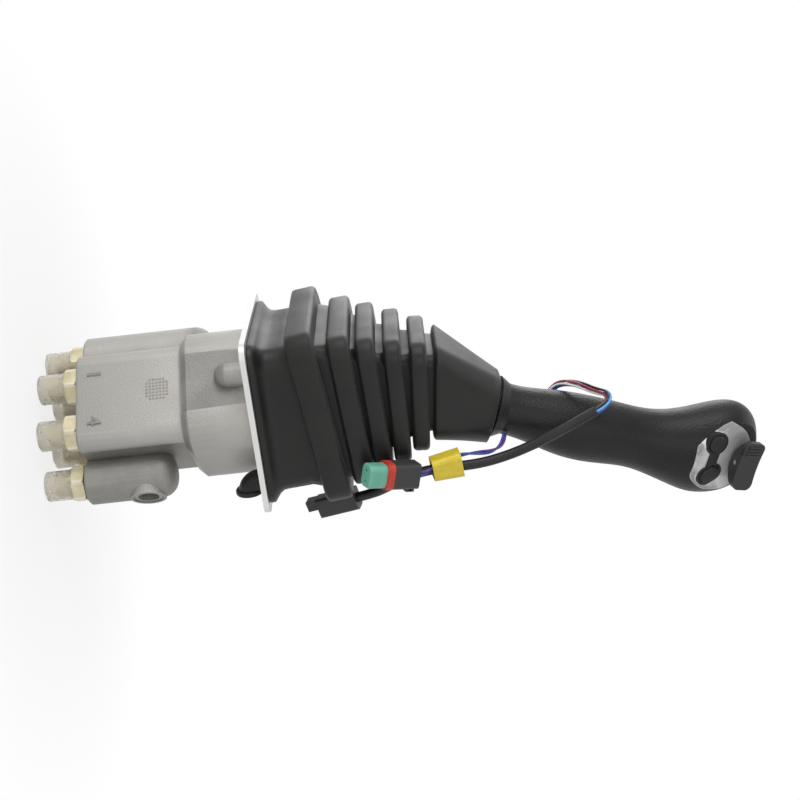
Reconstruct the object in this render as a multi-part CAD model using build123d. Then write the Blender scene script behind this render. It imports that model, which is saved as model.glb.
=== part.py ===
"""Hydraulic pilot joystick valve: four sprung plungers under a tilting disc, a bellows boot and a hand grip.

Frame: millimetres, +Z up along the valve axis, origin at the centre of the mounting plate's underside.
X and Y run along the sides of the square plate, and -Y is the operator's side.
"""
import math
import os

from build123d import *

# ---------------------------------------------------------------- driving dimensions
# fits
THREAD_GAP = 0.05        # radial, between a screwed-in stud and its hole
SLIDE_GAP = 0.04         # radial, rod in guide and spool in bore
SOFT_GAP = 0.3           # between soft or curved faces of different bodies

# mounting plate
PLATE_SIDE = 100.0
PLATE_T = 3.0
PLATE_CORNER_R = 8.0
PLATE_HOLE_PITCH = 80.0
PLATE_HOLE_D = 9.0

# ports, plungers and the tilting joint
PLUNGER_PITCH_R = 20.0   # radius of the circle of four plungers
SUPPLY_R = 34.5          # distance of the supply port from the valve axis
TANK_R = 39.0            # distance of the tank port from the valve axis
TILT_MAX = 19.0          # degrees each way
PIVOT_Z = 15.0           # height of the cross joint's centre
DISC_ABOVE_PIVOT = 12.0
DISC_R = 27.0
DISC_T = 6.0
LASH = 0.2               # gap between disc and rod tips at rest

# casing and port block
CASING_SIDE = 72.0
CASING_CORNER_R = 20.0
SHOULDER_H = 4.5         # slope from the casing's wall in to the port block
SHOULDER_IN = 4.5
SEAM_Z = -39.0           # where casing and port block meet
BLOCK_BOTTOM = -98.0
CORE_U = 58.0
CORE_V = 57.0
CORE_CORNER_R = 9.0
SUPPLY_LOBE_R = 14.5
TANK_LOBE_R = 12.75
LOBE_CROWN = 0.72        # crown radius as a share of the lobe's
P_LOBE_TOP = -24.0
T_LOBE_TOP = -48.0
BOSS_R = 6.75
BOSS_PITCH_R = 38.5
BOSS_BOTTOM = -18.5
CHAMBER_D = 20.0
CHAMBER_FLOOR = -52.0
CHAMBER_RING_LAND = 0.9
SUPPLY_GALLERY_Z = -75.0
TANK_GALLERY_Z = -60.0
RISER_D = 7.0
GALLERY_D = 6.0
CROSS_DRILL_D = 5.0
TAP_DEPTH = 14.0
SIDE_PORT_Z = -64.5
SIDE_PORT_D = 11.8
SIDE_PORT_L = 14.0
SIDE_FACE_U = 52.0
SPOTFACE_D = 17.0
SPOTFACE_DEPTH = 0.6
SIDE_BOSS_RIM = 1.5

# rod guide plugs, rods, seats, springs and spools
PLUG_L = 13.0
PLUG_FLANGE_D = 22.0
PLUG_FLANGE_T = 3.0
PLUG_RING_Z = -8.5
RING_WIRE = 1.5
WIPER_D = 12.0
WIPER_T = 2.5
ROD_D = 8.0
ROD_TIP_R = 7.0
ROD_COLLAR_D = 12.0
ROD_COLLAR_T = 1.5
ROD_COLLAR_TOP = -20.5
SEAT_D = 18.4
SEAT_T = 2.5
SPIGOT_D = 13.8
SPIGOT_L = 2.0
RETURN_SPRING_D = 18.0
RETURN_SPRING_WIRE = 1.7
RETURN_SPRING_TURNS = 7
BALANCE_SPRING_D = 11.6
BALANCE_SPRING_WIRE = 1.2
BALANCE_SPRING_TURNS = 5.5
SPOOL_D = 8.0
SPOOL_STEM_D = 5.0
SPOOL_STEM_TOP = -34.5
SPOOL_COLLAR_TOP = -42.0
SPOOL_COLLAR_T = 2.0
SPOOL_BOTTOM = -82.0
SPOOL_GROOVE_D = 5.5
SPOOL_BORE_D = 3.0

# port fittings and caps
FITTING_STUD_D = 13.0
FITTING_STUD_L = 11.0
FITTING_HEX = 19.0
FITTING_HEX_T = 7.0
FITTING_NIPPLE_D = 14.0
FITTING_NIPPLE_L = 10.0
FITTING_BORE_D = 6.0
SEAL_T = 1.0
CAP_D = 17.0
CAP_L = 15.7
CAP_WALL = 1.2

# screws
BLOCK_BOLT_D = 5.0
BLOCK_BOLT_PITCH_R = 22.5
BLOCK_BOLT_HEAD_D = 8.5
BLOCK_BOLT_ENGAGE = 14.0
BOLT_HEAD_TOP = -0.5
BOLT_HOLE_GAP = 0.2
PLATE_SCREW_D = 6.0
PLATE_SCREW_HEAD_D = 10.5
PLATE_SCREW_HEAD_H = 3.3
PLATE_SCREW_L = 12.0

# cross joint and lever
BASE_HEX = 24.0
BASE_HEX_T = 4.0
BASE_STUD_D = 12.0
BASE_STUD_L = 20.0
CROSS_SIDE = 9.0
TRUNNION_R = 2.5
EAR_GAP = 0.5
EAR_T = 4.0
YOKE_HUB_R = 9.5
YOKE_HUB_T = 3.5
YOKE_STUD_D = 14.0
YOKE_STUD_L = 31.0
NUT_HEX = 22.0
DISC_NUT_T = 6.0
LOCK_NUT_T = 5.0
STEM_D = 14.0
STEM_SOCKET_L = 20.0
STEM_BEND_R = 40.0
BEND_Z = 79.5            # where the lever's two straight axes cross
BEND_ANGLE = 20.0        # degrees, towards +X
STEM_END_S = 124.0       # along the bent axis from the crossing

# boot: ribs as (centre x, centre z, side, thickness, tilt in degrees)
BOOT_WALL = 2.6
BOOT_LIP_SIDE = 94.0
BOOT_LIP_T = 3.5
BOOT_COLLAR_SIDE = 84.0
BOOT_COLLAR_Z = 12.0
BOOT_RIBS = [
    (-1.4, 36.6, 100.0, 14.6, -7.0),
    (-1.4, 54.0, 88.0, 12.0, -4.0),
    (-1.2, 66.9, 80.0, 10.4, -2.4),
    (-0.8, 79.6, 72.5, 9.8, 0.4),
    (-0.3, 92.0, 64.5, 9.6, 3.5),
]
BOOT_VALLEYS = [80.0, 68.0, 57.0, 50.0, 46.0]
BOOT_CORNER_R = 11.0
BOOT_EDGE_R = 2.6
CONE_START = (100.2, 56.0, 6.0)   # z, side and tilt of the cone's wide end
CONE_END_S = 56.5
CONE_END_SIDE = 40.0
CONE_END_TILT = 17.3
CONE_END_CORNER_R = 15.0
CONE_LIP = 3.0

# hand grip: sections as (s along the bent axis, offset along p, half width, half depth)
GRIP_SECTIONS = [
    (54.0, 0.0, 14.8, 14.8),
    (66.0, 0.0, 14.8, 14.8),
    (80.0, 0.4, 15.9, 16.0),
    (97.0, 1.0, 18.6, 17.8),
    (112.0, 1.2, 19.4, 18.6),
    (127.0, 0.6, 18.8, 18.2),
    (142.0, 0.2, 18.1, 17.6),
    (156.0, 0.2, 20.0, 18.6),
    (170.0, -1.0, 24.2, 20.6),
    (182.0, -3.2, 28.0, 22.0),
    (191.5, -5.5, 28.8, 22.0),
    (200.5, -6.9, 26.4, 20.0),
    (207.3, -7.4, 20.6, 15.6),
    (211.8, -7.5, 11.6, 9.0),
]
GRIP_SKIRT_S = 58.5
GRIP_SKIRT_L = 6.5
GRIP_SKIRT_R = 18.2
INSERT_R = 11.0
INSERT_L = 30.0

# operator panel, in the panel's own plane: e along the grip, f across it
PANEL_P = -5.0
PANEL_S = 195.3
PANEL_DEPTH = 14.6       # panel plane's origin in front of the grip's axis
PANEL_LEAN = 20.0
PANEL_T = 2.2
PANEL_OUTLINE = [
    (-20.8, -11.0),
    (-21.6, 1.0),
    (-19.6, 14.0),
    (-11.0, 22.4),
    (-1.5, 21.8),
    (9.5, 15.0),
    (14.4, 4.0),
    (14.0, -8.5),
    (7.0, -17.5),
    (-5.0, -21.6),
    (-15.5, -19.0),
]
POCKET_DEPTH = 16.0
POCKET_AT = (-8.5, -1.0)
POCKET_SIZE = (20.0, 33.0)
POCKET_CORNER_R = 8.5
BUTTON_1 = (-10.8, 8.8)
BUTTON_2 = (-9.2, -10.6)
BUTTON_1_R = 5.3
BUTTON_2_L = 12.6
BUTTON_2_W = 8.0
BUTTON_2_TURN = 38.0
BUTTON_RISE = 2.0
BUTTON_TRAVEL = 1.6
BUTTON_FLANGE = 0.8
BEZEL_RISE = 0.5
BEZEL_BAND = 1.6
BEZEL_WAIST = 6.6
BOARD_T = 1.6
BOARD_GAP = 0.1
SWITCH_L = 12.8
SWITCH_W = 6.5
SWITCH_GAP = 0.4
SWITCH_SHIFT = 1.0         # the plunger stands off the switch's middle
ROCKER_E = 8.7
ROCKER_F = 0.0
ROCKER_TURN = 0.0
ROCKER_L = 30.0
ROCKER_W = 14.0
ROCKER_AXIS_H = 4.6
ROCKER_END_H = 10.2
ROCKER_MID_H = 8.8
ROCKER_UNDER_H = 6.9
ROCKER_TILT = 12.0
EAR_R = 3.0
EAR_HALF_W = 4.0
PIN_R = 1.5
RIDGE_R = 0.55

# harness
SLEEVE_D = 5.8
BUNDLE_D = 4.4
PAIR_D = 3.2
TAPE_GAP = 0.5
TAPE_T = 0.45
TAPE_CORNER_R = 2.2
SPOUT_WALL_GAP = 2.5     # from the level of the casing's side to the spout's axis, along X
SPOUT_POS = (CASING_SIDE / 2 + SPOUT_WALL_GAP, -25.5)
SPOUT_D = 13.0
SPOUT_WALL = 2.0
SPOUT_DROP = 9.5         # from the plate's underside to the bent end's axis
SPOUT_REACH = 7.0        # from the upright axis out to the mouth
SPOUT_BEND_R = 6.8
SPOUT_BEAD = 1.5

# cord routes, object coordinates
SLEEVE_ROUTE = [
    (18.0, -26.6, 189.0),
    (26.0, -28.6, 170.5),
    (32.6, -29.0, 154.5),
    (37.4, -30.6, 138.0),
    (39.4, -33.4, 121.0),
    (38.6, -35.0, 102.0),
    (39.4, -35.0, 90.0),
    (43.0, -32.6, 78.5),
    (49.6, -28.2, 69.5),
    (55.0, -24.4, 60.0),
    (57.4, -22.4, 50.4),
]
BUNDLE_ROUTE = [
    (24.0, 14.9, 165.5),
    (19.2, 17.0, 170.6),
    (15.0, 12.4, 175.6),
    (12.2, 3.6, 180.6),
    (11.0, -5.0, 185.6),
    (11.5, -12.9, 191.4),
    (11.5, -18.85, 197.6),
    (15.0, -25.85, 195.9375),
    (18.0, -26.6, 189.0),
]
PAIR_ROUTE = [
    (31.97, -11.91, 138.11),
    (36.2, -17.25, 136.6),
    (37.4, -23.6, 129.7),
    (34.8, -28.6, 121.1),
    (32.6, -33.0, 111.5),
    (33.2, -36.4, 101.5),
    (38.6, -40.4, 91.4),
    (36.5, -43.66, 85.1),
]
TAPE_TOP = (36.0, -35.3, 111.0)
TAPE_END = (37.4, -37.6, 94.5)
CONNECTOR_A_TOP = PAIR_ROUTE[-1]
CONNECTOR_A_L = 31.2
CONNECTOR_B_TOP = SLEEVE_ROUTE[-1]
CONNECTOR_B_L = 23.6

# ---------------------------------------------------------------- shared frames
BLOCK = Plane(origin=(0, 0, 0), x_dir=(1, -1, 0), z_dir=(0, 0, 1))
BEND = math.radians(BEND_ANGLE)
HANDLE = Plane(
    origin=(0, 0, BEND_Z),
    x_dir=(math.cos(BEND), 0, -math.sin(BEND)),
    z_dir=(math.sin(BEND), 0, math.cos(BEND)),
)
LEAN = math.radians(PANEL_LEAN)
PANEL = HANDLE.location * Location(
    Plane(
        origin=(PANEL_P, -PANEL_DEPTH, PANEL_S),
        x_dir=(0, math.sin(LEAN), math.cos(LEAN)),
        z_dir=(0, -math.cos(LEAN), math.sin(LEAN)),
    )
)
ROCKER = PANEL * Location((ROCKER_E, ROCKER_F, 0), (0, 0, ROCKER_TURN))
PLUNGERS = [
    (-PLUNGER_PITCH_R, 0),
    (0, PLUNGER_PITCH_R),
    (PLUNGER_PITCH_R, 0),
    (0, -PLUNGER_PITCH_R),
]
DIAGONAL = 1 / math.sqrt(2)
BOLT_SPOTS = [
    (sx * BLOCK_BOLT_PITCH_R * DIAGONAL, sy * BLOCK_BOLT_PITCH_R * DIAGONAL) for sx in (-1, 1) for sy in (-1, 1)
]
BOSS_SPOTS = [(sign * BOSS_PITCH_R * DIAGONAL, sign * BOSS_PITCH_R * DIAGONAL) for sign in (-1, 1)]
SUPPLY_PORT = (-SUPPLY_R * DIAGONAL, SUPPLY_R * DIAGONAL)
TANK_PORT = (TANK_R * DIAGONAL, -TANK_R * DIAGONAL)
PORTS = PLUNGERS + [SUPPLY_PORT, TANK_PORT]
DISC_BOTTOM = PIVOT_Z + DISC_ABOVE_PIVOT
DISC_TOP = DISC_BOTTOM + DISC_T
ROD_TIP = DISC_BOTTOM - LASH
SEAT_TOP = ROD_COLLAR_TOP - ROD_COLLAR_T
SEAT_BOTTOM = SEAT_TOP - SEAT_T
SPIGOT_BOTTOM = SEAT_BOTTOM - SPIGOT_L
HEX_TOP = BLOCK_BOTTOM - SEAL_T
NIPPLE_TOP = HEX_TOP - FITTING_HEX_T
NIPPLE_BOTTOM = NIPPLE_TOP - FITTING_NIPPLE_L


# ---------------------------------------------------------------- helpers
def cylinder(radius, bottom, top, at=(0, 0)):
    """Upright cylinder between two heights."""
    disc = Pos(at[0], at[1], bottom) * Circle(radius)
    return extrude(disc, top - bottom)


def bore(radius, depth):
    """Cylinder that starts at its plane and runs along the plane's normal."""
    return Cylinder(radius, depth, align=(Align.CENTER, Align.CENTER, Align.MIN))


def hexagon(across_flats, bottom, top, at=(0, 0), chamfer_size=0.8):
    """Upright hexagonal prism with a turned chamfer on both ends."""
    profile = RegularPolygon(across_flats / 2, 6, major_radius=False)
    prism = extrude(Pos(at[0], at[1], bottom) * profile, top - bottom)
    corner = across_flats / math.sqrt(3)
    turned = cylinder(corner, bottom, top, at)
    turned = chamfer(turned.edges().filter_by(GeomType.CIRCLE), chamfer_size)
    return prism & turned


def ring(major, wire, z, at=(0, 0)):
    """Flat ring of round wire."""
    return Pos(at[0], at[1], z) * Torus(major, wire / 2)


def coil(outer, wire, turns, bottom, top, at):
    """Compression spring whose wire's ends lie inside the two given heights."""
    height = top - bottom - wire
    radius = (outer - wire) / 2
    path = Helix(pitch=height / turns, height=height, radius=radius)
    section = Plane(origin=path @ 0, z_dir=path % 0) * Circle(wire / 2)
    return Pos(at[0], at[1], bottom + wire / 2) * sweep(section, path=path, is_frenet=True)


def group(pieces):
    """One node of separate solids."""
    return Compound(children=[piece for piece in pieces])


def save(name, shape):
    """Write one node."""
    export_step(shape, "parts/" + name + ".step")


# ---------------------------------------------------------------- valve body
def make_port_block():
    core = extrude(
        Pos(0, 0, BLOCK_BOTTOM) * RectangleRounded(CORE_U, CORE_V, CORE_CORNER_R),
        SEAM_Z - BLOCK_BOTTOM,
    )
    supply_lobe = cylinder(SUPPLY_LOBE_R, BLOCK_BOTTOM, SEAM_Z, (-SUPPLY_R, 0))
    tank_lobe = cylinder(TANK_LOBE_R, BLOCK_BOTTOM, T_LOBE_TOP, (TANK_R, 0))
    crown = tank_lobe.edges().filter_by(GeomType.CIRCLE).sort_by(Axis.Z)[-1]
    tank_lobe = fillet(crown, TANK_LOBE_R * LOBE_CROWN)
    side_axis = Plane(origin=(TANK_R, 0, SIDE_PORT_Z), z_dir=(1, 0, 0))
    side_boss = side_axis * bore(SPOTFACE_D / 2 + SIDE_BOSS_RIM, SIDE_FACE_U - TANK_R)
    body = core + supply_lobe + tank_lobe + side_boss
    bottom_edges = body.edges().group_by(Axis.Z)[0]
    body = chamfer(bottom_edges, 1.2)
    block = BLOCK.location
    body = block * body
    port_start = Plane(origin=(SIDE_FACE_U - SIDE_PORT_L, 0, SIDE_PORT_Z), z_dir=(1, 0, 0))
    side_face = Plane(origin=(SIDE_FACE_U - SPOTFACE_DEPTH, 0, SIDE_PORT_Z), z_dir=(1, 0, 0))
    cuts = [
        block * (port_start * bore(SIDE_PORT_D / 2, 2 * SIDE_PORT_L)),
        block * (side_face * bore(SPOTFACE_D / 2, SIDE_PORT_L)),
    ]
    for u, gallery_z in ((-SUPPLY_R, SUPPLY_GALLERY_Z), (TANK_R, TANK_GALLERY_Z)):
        cuts.append(block * cylinder(RISER_D / 2, BLOCK_BOTTOM, gallery_z + GALLERY_D, (u, 0)))
        inward = Plane(origin=(u, 0, gallery_z), z_dir=(-u, 0, 0))
        cuts.append(block * (inward * bore(GALLERY_D / 2, abs(u) + GALLERY_D / 2)))
        for turn in (0, 90):
            drilling = Cylinder(CROSS_DRILL_D / 2, 2 * PLUNGER_PITCH_R)
            cuts.append(Pos(0, 0, gallery_z) * Rot(0, 0, turn) * Rot(0, 90, 0) * drilling)
    tap_r = FITTING_STUD_D / 2 + THREAD_GAP
    for at in PORTS:
        cuts.append(cylinder(tap_r, BLOCK_BOTTOM, BLOCK_BOTTOM + TAP_DEPTH, at))
    groove_r = CHAMBER_D / 2 + CHAMBER_RING_LAND
    for at in PLUNGERS:
        cuts.append(cylinder(SPOOL_D / 2 + SLIDE_GAP, BLOCK_BOTTOM, SEAM_Z, at))
        cuts.append(cylinder(CHAMBER_D / 2, CHAMBER_FLOOR, SEAM_Z, at))
        groove = cylinder(groove_r + RING_WIRE + 0.1, SEAM_Z - RING_WIRE, SEAM_Z, at)
        cuts.append(groove - cylinder(groove_r, SEAM_Z - RING_WIRE, SEAM_Z, at))
    for at in BOLT_SPOTS:
        floor = SEAM_Z - BLOCK_BOLT_ENGAGE - 1
        cuts.append(cylinder(BLOCK_BOLT_D / 2 + THREAD_GAP, floor, SEAM_Z, at))
    return body - cuts


def make_casing():
    outline = RectangleRounded(CASING_SIDE, CASING_SIDE, CASING_CORNER_R)
    body = extrude(Pos(0, 0, SEAM_Z) * outline, -SEAM_Z)
    body = chamfer(body.edges().group_by(Axis.Z)[0], SHOULDER_H, SHOULDER_IN)
    body = BLOCK.location * body
    lobe = cylinder(SUPPLY_LOBE_R, SEAM_Z, P_LOBE_TOP, SUPPLY_PORT)
    crown = lobe.edges().filter_by(GeomType.CIRCLE).sort_by(Axis.Z)[-1]
    body += fillet(crown, SUPPLY_LOBE_R * LOBE_CROWN)
    cuts = [cylinder(BASE_STUD_D / 2 + THREAD_GAP, -BASE_STUD_L - 2, 0)]
    for at in BOSS_SPOTS:
        boss = cylinder(BOSS_R, BOSS_BOTTOM + BOSS_R, 0, at)
        boss += Pos(at[0], at[1], BOSS_BOTTOM + BOSS_R) * Sphere(BOSS_R)
        body += boss
        cuts.append(cylinder(PLATE_SCREW_D / 2 + THREAD_GAP, -PLATE_SCREW_L - 1, 0, at))
    for at in PLUNGERS:
        cuts.append(cylinder(CHAMBER_D / 2, SEAM_Z, 0, at))
        cuts.append(cylinder(PLUG_FLANGE_D / 2 + THREAD_GAP, -PLUG_FLANGE_T, 0, at))
    for at in BOLT_SPOTS:
        cuts.append(cylinder(BLOCK_BOLT_D / 2 + BOLT_HOLE_GAP, SEAM_Z, 0, at))
        cuts.append(cylinder(BLOCK_BOLT_HEAD_D / 2 + BOLT_HOLE_GAP, BOLT_HEAD_TOP - BLOCK_BOLT_D, 0, at))
    return body - cuts


def make_seal_rings():
    rings = []
    for at in PLUNGERS:
        major = CHAMBER_D / 2 + CHAMBER_RING_LAND + RING_WIRE / 2 + 0.05
        rings.append(ring(major, RING_WIRE - 0.02, SEAM_Z - RING_WIRE / 2, at))
    return group(rings)


def socket_screw(diameter, head_d, length, head_top, at):
    """Cap screw with a hexagon socket, head up."""
    head_bottom = head_top - diameter
    screw = cylinder(head_d / 2, head_bottom, head_top, at)
    screw = chamfer(screw.edges().filter_by(GeomType.CIRCLE).sort_by(Axis.Z)[-1], 0.5)
    screw += cylinder(diameter / 2, head_bottom - length, head_bottom, at)
    key = extrude(
        Pos(at[0], at[1], head_top - diameter * 0.55) * RegularPolygon(diameter * 0.4, 6, major_radius=False),
        diameter,
    )
    return screw - key


def make_block_bolts():
    bolts = []
    length = BOLT_HEAD_TOP - BLOCK_BOLT_D - (SEAM_Z - BLOCK_BOLT_ENGAGE)
    for at in BOLT_SPOTS:
        bolts.append(socket_screw(BLOCK_BOLT_D, BLOCK_BOLT_HEAD_D, length, BOLT_HEAD_TOP, at))
    return group(bolts)


def make_mounting_plate():
    plate = extrude(RectangleRounded(PLATE_SIDE, PLATE_SIDE, PLATE_CORNER_R), PLATE_T)
    half = PLATE_HOLE_PITCH / 2
    for sx in (-1, 1):
        for sy in (-1, 1):
            plate -= cylinder(PLATE_HOLE_D / 2, 0, PLATE_T, (sx * half, sy * half))
    for at in PLUNGERS:
        plate -= cylinder(WIPER_D / 2 + 0.5, 0, PLATE_T, at)
    plate -= cylinder(BASE_STUD_D / 2 + 0.25, 0, PLATE_T)
    for at in BOSS_SPOTS:
        plate -= cylinder(PLATE_SCREW_D / 2 + 0.3, 0, PLATE_T, at)
    plate -= cylinder(SPOUT_D / 2, 0, PLATE_T, SPOUT_POS)
    return plate


def make_plate_screws():
    screws = []
    for at in BOSS_SPOTS:
        head = cylinder(PLATE_SCREW_HEAD_D / 2, PLATE_T, PLATE_T + PLATE_SCREW_HEAD_H, at)
        head = fillet(head.edges().filter_by(GeomType.CIRCLE).sort_by(Axis.Z)[-1], 2.2)
        screw = head + cylinder(PLATE_SCREW_D / 2, -PLATE_SCREW_L, PLATE_T, at)
        key = extrude(
            Pos(at[0], at[1], PLATE_T + 1) * RegularPolygon(2.0, 6, major_radius=False),
            PLATE_SCREW_HEAD_H,
        )
        screws.append(screw - key)
    return group(screws)


def make_port_seals():
    seals = []
    for at in PORTS:
        seal = cylinder(FITTING_HEX / 2 - 0.6, HEX_TOP, BLOCK_BOTTOM, at)
        seals.append(seal - cylinder(FITTING_STUD_D / 2 + THREAD_GAP, HEX_TOP, BLOCK_BOTTOM, at))
    return group(seals)


def make_port_fittings():
    fittings = []
    for at in PORTS:
        body = hexagon(FITTING_HEX, NIPPLE_TOP, HEX_TOP, at)
        body += cylinder(FITTING_STUD_D / 2, HEX_TOP, BLOCK_BOTTOM + FITTING_STUD_L, at)
        nipple = cylinder(FITTING_NIPPLE_D / 2, NIPPLE_BOTTOM, NIPPLE_TOP, at)
        body += chamfer(nipple.edges().filter_by(GeomType.CIRCLE).sort_by(Axis.Z)[0], 0.8)
        body -= cylinder(FITTING_BORE_D / 2, NIPPLE_BOTTOM, BLOCK_BOTTOM + FITTING_STUD_L, at)
        seat = Pos(at[0], at[1], NIPPLE_BOTTOM) * Cone(
            FITTING_NIPPLE_D / 2 - 2, FITTING_BORE_D / 2, 5.0, align=(Align.CENTER, Align.CENTER, Align.MIN)
        )
        fittings.append(body - seat)
    return group(fittings)


def make_dust_caps():
    caps = []
    bottom = NIPPLE_TOP - CAP_L
    for at in PORTS:
        cap = cylinder(CAP_D / 2, bottom, NIPPLE_TOP, at)
        cap = fillet(cap.edges().filter_by(GeomType.CIRCLE).sort_by(Axis.Z)[0], 1.0)
        lip = cylinder(CAP_D / 2 + 0.6, NIPPLE_TOP - 1.6, NIPPLE_TOP, at)
        cap += fillet(lip.edges().filter_by(GeomType.CIRCLE), 0.5)
        cap -= cylinder(CAP_D / 2 - CAP_WALL, bottom + CAP_WALL, NIPPLE_TOP, at)
        caps.append(cap)
    return group(caps)


def make_cable_spout():
    """Rubber elbow under the plate, open at both ends, with a beaded mouth."""
    x, y = SPOUT_POS
    corners = [(x, y, PLATE_T), (x, y, -SPOUT_DROP), (x + SPOUT_REACH, y, -SPOUT_DROP)]
    path = FilletPolyline(*corners, radius=SPOUT_BEND_R)
    start = Plane(origin=path @ 0, z_dir=path % 0)
    mouth = Plane(origin=path @ 1, z_dir=path % 1)
    spout = sweep(start * Circle(SPOUT_D / 2), path=path)
    spout += cylinder(SPOUT_D / 2 + SPOUT_BEAD, -1.4 * SPOUT_BEAD, 0, SPOUT_POS)
    bead = Cylinder(SPOUT_D / 2 + SPOUT_BEAD, 2 * SPOUT_BEAD)
    bead = fillet(bead.edges().filter_by(GeomType.CIRCLE), SPOUT_BEAD * 0.6)
    spout += mouth * Pos(0, 0, -SPOUT_BEAD) * bead
    return spout - sweep(start * Circle(SPOUT_D / 2 - SPOUT_WALL), path=path)


# ---------------------------------------------------------------- plungers
def make_rod_plugs():
    plugs = []
    for at in PLUNGERS:
        plug = cylinder(CHAMBER_D / 2 - THREAD_GAP, -PLUG_L, 0, at)
        plug += cylinder(PLUG_FLANGE_D / 2, -PLUG_FLANGE_T, 0, at)
        plug -= cylinder(ROD_D / 2 + SLIDE_GAP, -PLUG_L, 0, at)
        plug -= cylinder(WIPER_D / 2, -WIPER_T, 0, at)
        low = PLUG_RING_Z - RING_WIRE / 2
        groove = cylinder(CHAMBER_D / 2, low, low + RING_WIRE, at)
        groove -= cylinder(CHAMBER_D / 2 - RING_WIRE, low, low + RING_WIRE, at)
        plugs.append(plug - groove)
    return group(plugs)


def make_plug_rings():
    rings = []
    for at in PLUNGERS:
        rings.append(ring((CHAMBER_D - RING_WIRE) / 2, RING_WIRE - 0.02, PLUG_RING_Z, at))
    return group(rings)


def make_rod_wipers():
    wipers = []
    for at in PLUNGERS:
        wiper = cylinder(WIPER_D / 2, -WIPER_T, 0, at) + cylinder(WIPER_D / 2 - 1.2, 0, 0.8, at)
        wipers.append(wiper - cylinder(ROD_D / 2 + SLIDE_GAP, -WIPER_T, 0.8, at))
    return group(wipers)


def make_push_rod(at):
    radius = ROD_D / 2
    dome = ROD_TIP_R - math.sqrt(ROD_TIP_R**2 - radius**2)
    outline = [
        Line((0, SEAT_TOP), (ROD_COLLAR_D / 2, SEAT_TOP)),
        Line((ROD_COLLAR_D / 2, SEAT_TOP), (ROD_COLLAR_D / 2, ROD_COLLAR_TOP)),
        Line((ROD_COLLAR_D / 2, ROD_COLLAR_TOP), (radius, ROD_COLLAR_TOP)),
        Line((radius, ROD_COLLAR_TOP), (radius, ROD_TIP - dome)),
        RadiusArc((radius, ROD_TIP - dome), (0, ROD_TIP), -ROD_TIP_R),
        Line((0, ROD_TIP), (0, SEAT_TOP)),
    ]
    rod = revolve(Plane.XZ * make_face(outline), Axis.Z)
    return Pos(at[0], at[1], 0) * rod


def make_spring_seat(at):
    seat = cylinder(SEAT_D / 2, SEAT_BOTTOM, SEAT_TOP, at)
    seat += cylinder(SPIGOT_D / 2, SPIGOT_BOTTOM, SEAT_BOTTOM, at)
    seat -= cylinder(SPOOL_STEM_D / 2 + 0.5, SPIGOT_BOTTOM, SEAT_BOTTOM + 1, at)
    for dx, dy in ((1, 0), (-1, 0), (0, 1), (0, -1)):
        spot = (at[0] + dx * SEAT_D / 2, at[1] + dy * SEAT_D / 2)
        seat -= cylinder(1.6, SEAT_BOTTOM, SEAT_TOP, spot)
    return seat


def make_return_spring(at):
    return coil(
        RETURN_SPRING_D, RETURN_SPRING_WIRE, RETURN_SPRING_TURNS, CHAMBER_FLOOR, SEAT_BOTTOM, at
    )


def make_balance_spring(at):
    return coil(
        BALANCE_SPRING_D, BALANCE_SPRING_WIRE, BALANCE_SPRING_TURNS, SPOOL_COLLAR_TOP, SPIGOT_BOTTOM, at
    )


def make_spool(at):
    collar_bottom = SPOOL_COLLAR_TOP - SPOOL_COLLAR_T
    spool = cylinder(SPOOL_D / 2, SPOOL_BOTTOM, collar_bottom, at)
    spool += cylinder(BALANCE_SPRING_D / 2, collar_bottom, SPOOL_COLLAR_TOP, at)
    spool += cylinder(SPOOL_STEM_D / 2, SPOOL_COLLAR_TOP, SPOOL_STEM_TOP, at)
    for low, high in ((TANK_GALLERY_Z - 5, TANK_GALLERY_Z + 5), (SUPPLY_GALLERY_Z - 1, SUPPLY_GALLERY_Z + 7)):
        groove = cylinder(SPOOL_D / 2, low, high, at)
        spool -= groove - cylinder(SPOOL_GROOVE_D / 2, low, high, at)
    spool -= cylinder(SPOOL_BORE_D / 2, SPOOL_BOTTOM, SUPPLY_GALLERY_Z + 6, at)
    cross_hole = Pos(at[0], at[1], SUPPLY_GALLERY_Z + 5) * Rot(0, 90, 0) * Cylinder(1.0, SPOOL_D)
    return spool - cross_hole


# ---------------------------------------------------------------- cross joint and lever
def ear(gap, thickness, height_low, height_high, width):
    """Rounded ear standing on +X, centred on the pivot height, with its trunnion hole."""
    profile = Pos(0, PIVOT_Z) * Circle(width / 2)
    profile += Pos(0, (height_low + PIVOT_Z) / 2) * Rectangle(width, abs(PIVOT_Z - height_low))
    profile += Pos(0, (height_high + PIVOT_Z) / 2) * Rectangle(width, abs(height_high - PIVOT_Z))
    profile -= Pos(0, PIVOT_Z) * Circle(TRUNNION_R + SLIDE_GAP)
    face = Plane(origin=(gap, 0, 0), x_dir=(0, 1, 0), z_dir=(1, 0, 0)) * profile
    return extrude(face, thickness)


def make_joint_base():
    base_top = PLATE_T + BASE_HEX_T
    base = hexagon(BASE_HEX, PLATE_T, base_top)
    base += cylinder(BASE_STUD_D / 2, -BASE_STUD_L, PLATE_T)
    gap = CROSS_SIDE / 2 + EAR_GAP
    fork_ear = ear(gap, EAR_T, base_top - 0.5, PIVOT_Z, CROSS_SIDE)
    return base + fork_ear + Rot(0, 0, 180) * fork_ear


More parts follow.
